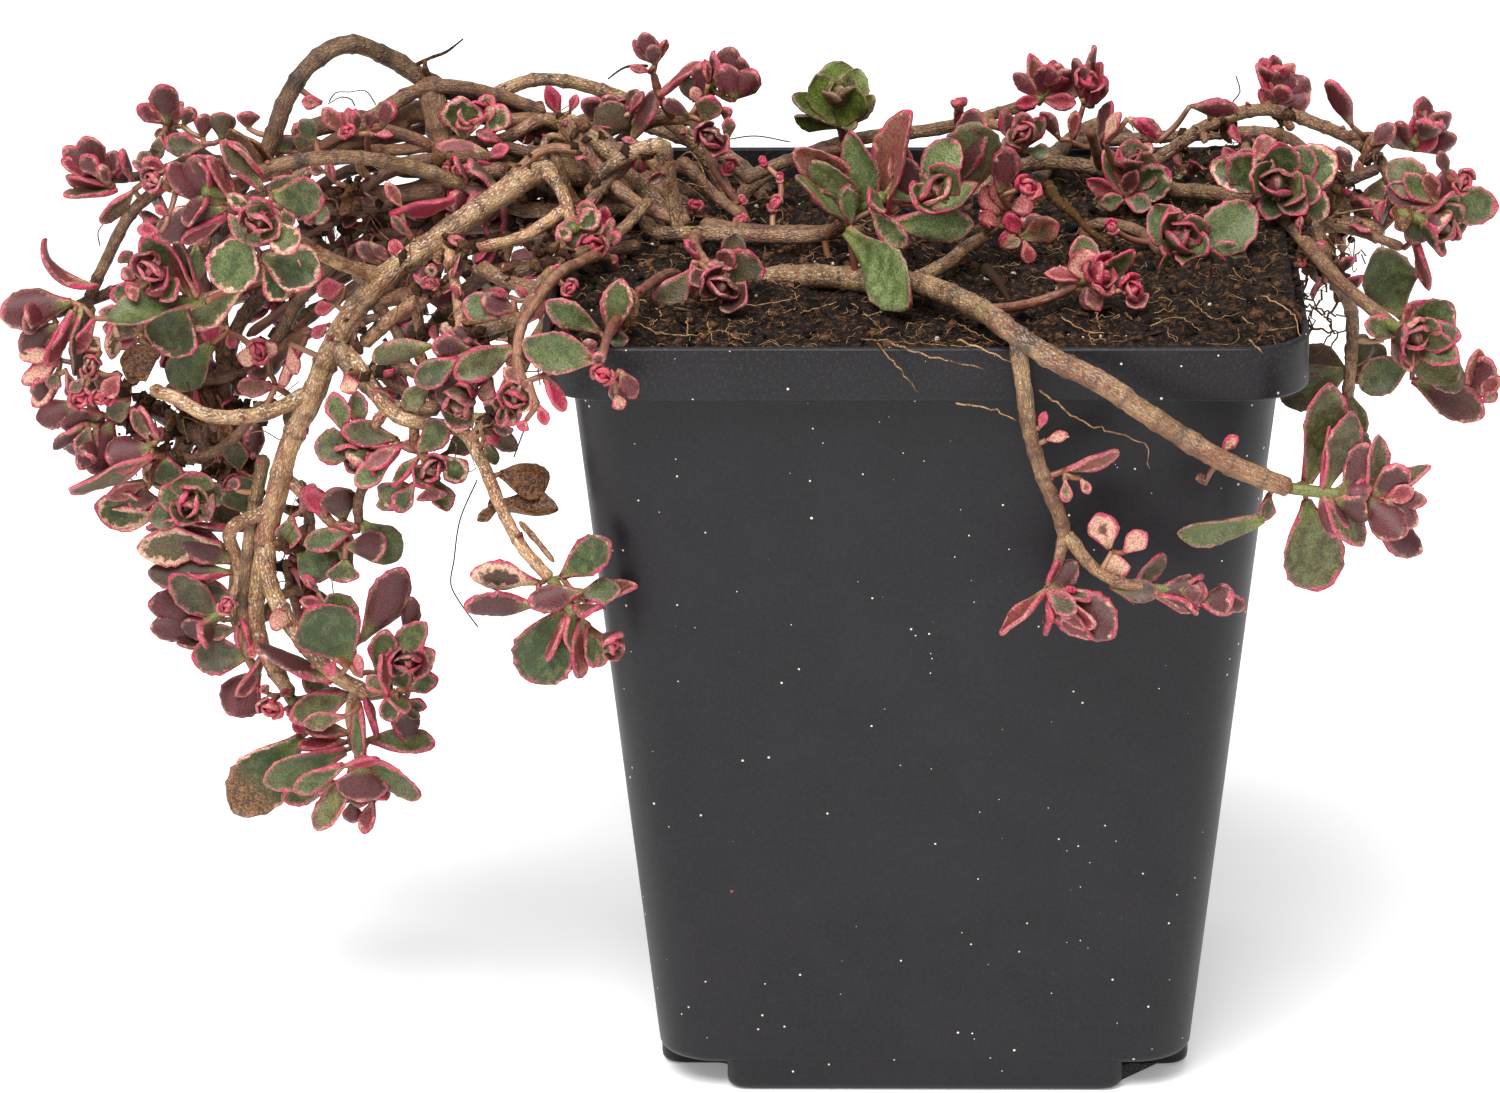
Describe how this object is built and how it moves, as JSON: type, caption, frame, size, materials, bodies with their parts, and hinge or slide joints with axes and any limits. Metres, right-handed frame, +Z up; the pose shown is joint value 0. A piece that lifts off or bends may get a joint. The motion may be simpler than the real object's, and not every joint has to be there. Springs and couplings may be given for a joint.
{
  "type": "potted two-row stonecrop",
  "caption": "Square black nursery pot of moist potting mix with a trailing stonecrop: woody stems arch and hang over the rim, ending in rosettes of fleshy edged leaves.",
  "frame": {"origin": "centre of the pot's foot, on the surface it stands on", "axes": "+Z up, -Y towards the front of the plant, +X to the right as seen from the front"},
  "size_m": [0.2163, 0.1407, 0.1495],
  "materials": {
    "pot_plastic": "charcoal black moulded plastic, fine matte texture, dusty",
    "potting_mix": "crumbly dark peat and bark fibre with white perlite grains",
    "bark": "scaly tan and grey-brown bark with darker node rings",
    "leaf_green": "fleshy, grey-green with cream and pink toothed margins, soft waxy sheen",
    "leaf_purple": "fleshy, dull purple-brown with pink rims, soft waxy sheen",
    "leaf_red": "fleshy young leaves, bright pink to crimson, soft waxy sheen"
  },
  "bodies": {
    "root": {"pot": "pot_plastic", "potting_mix": "potting_mix", "left_trunk": "bark", "arched_stem": "bark", "left_middle_stem": "bark", "back_arch_stem": "bark", "cut_stem": "bark", "crossing_stem": "bark", "centre_runner": "bark", "front_trunk": "bark", "right_arch_stem": "bark", "right_runner": "bark", "right_low_stem": "bark", "back_runner": "bark", "rim_twig": "bark", "hanging_twig": "bark", "crown_twig": "bark", "back_left_stem": "bark", "back_right_stem": "bark", "shoot_left_top": "leaf_purple", "shoot_left_tip": "leaf_purple", "rosette_left_cream": "leaf_green", "rosette_left_purple": "leaf_purple", "rosette_left_green": "leaf_green", "rosette_left_edge": "leaf_purple", "rosette_left_low": "leaf_purple", "rosette_left_open": "leaf_green", "rosette_trunk_side": "leaf_purple", "rosette_trunk_low": "leaf_red", "rosette_fork_end": "leaf_green", "rosette_lowest": "leaf_green", "rosette_under_left": "leaf_green", "rosette_under_small": "leaf_green", "rosette_dangling": "leaf_green", "rosette_crown_front": "leaf_green", "rosette_soil_left": "leaf_purple", "shoot_crown_top": "leaf_purple", "rosette_arch_foot": "leaf_green", "rosette_crown_top": "leaf_purple", "shoot_green": "leaf_green", "rosette_centre": "leaf_green", "shoot_red": "leaf_red", "rosette_coral": "leaf_red", "rosette_back_green": "leaf_green", "rosette_right_fine": "leaf_green", "rosette_right_front": "leaf_green", "rosette_soil_right": "leaf_red", "shoot_right_red": "leaf_red", "shoot_right_top": "leaf_purple", "rosette_right_edge": "leaf_green", "rosette_right_low": "leaf_green", "rosette_right_dark": "leaf_green", "shoot_front_end": "leaf_purple", "shoot_front_down": "leaf_purple", "shoot_front_side": "leaf_purple", "rosette_hanging": "leaf_green", "rosette_back_left": "leaf_green", "rosette_back_middle": "leaf_green", "rosette_back_right": "leaf_purple"}
  },
  "joints": []
}
